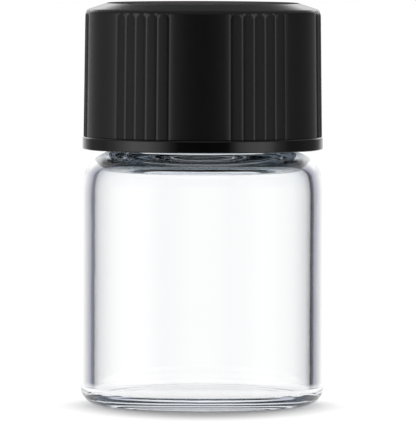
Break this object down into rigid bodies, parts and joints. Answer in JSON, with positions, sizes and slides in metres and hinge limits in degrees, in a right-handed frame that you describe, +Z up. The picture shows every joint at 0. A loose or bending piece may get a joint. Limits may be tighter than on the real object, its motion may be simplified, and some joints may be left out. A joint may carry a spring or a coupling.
{
  "type": "glass sample vial",
  "caption": "Small clear glass vial with a rounded shoulder and screw finish, closed by a black grooved screw cap over a sealing disc.",
  "frame": {"origin": "centre of the ring that the vial stands on", "axes": "+Z up along the vial's axis, from the base to the cap"},
  "size_m": [0.016, 0.016, 0.0264],
  "materials": {
    "glass": "clear, fire-polished",
    "cap": "black moulded phenolic, satin gloss",
    "liner": "white foam, matte"
  },
  "bodies": {
    "vial": {"glass_vial": "glass"},
    "liner": {"cap_liner": "liner"},
    "cap": {"screw_cap": "cap"}
  },
  "joints": [
    {"name": "cap_lift", "type": "slide", "parent": "vial", "child": "liner", "axis": [0, 0, 1], "range_m": [0, 0.01058]},
    {"name": "cap_turn", "type": "hinge", "parent": "liner", "child": "cap", "pos_m": [0, 0, 0.0253], "axis": [0, 0, 1], "range_deg": [0, 1800]}
  ],
  "couplings": [
    {"joint": "cap_turn", "follows": "cap_lift", "rad_per_m": 2968}
  ]
}
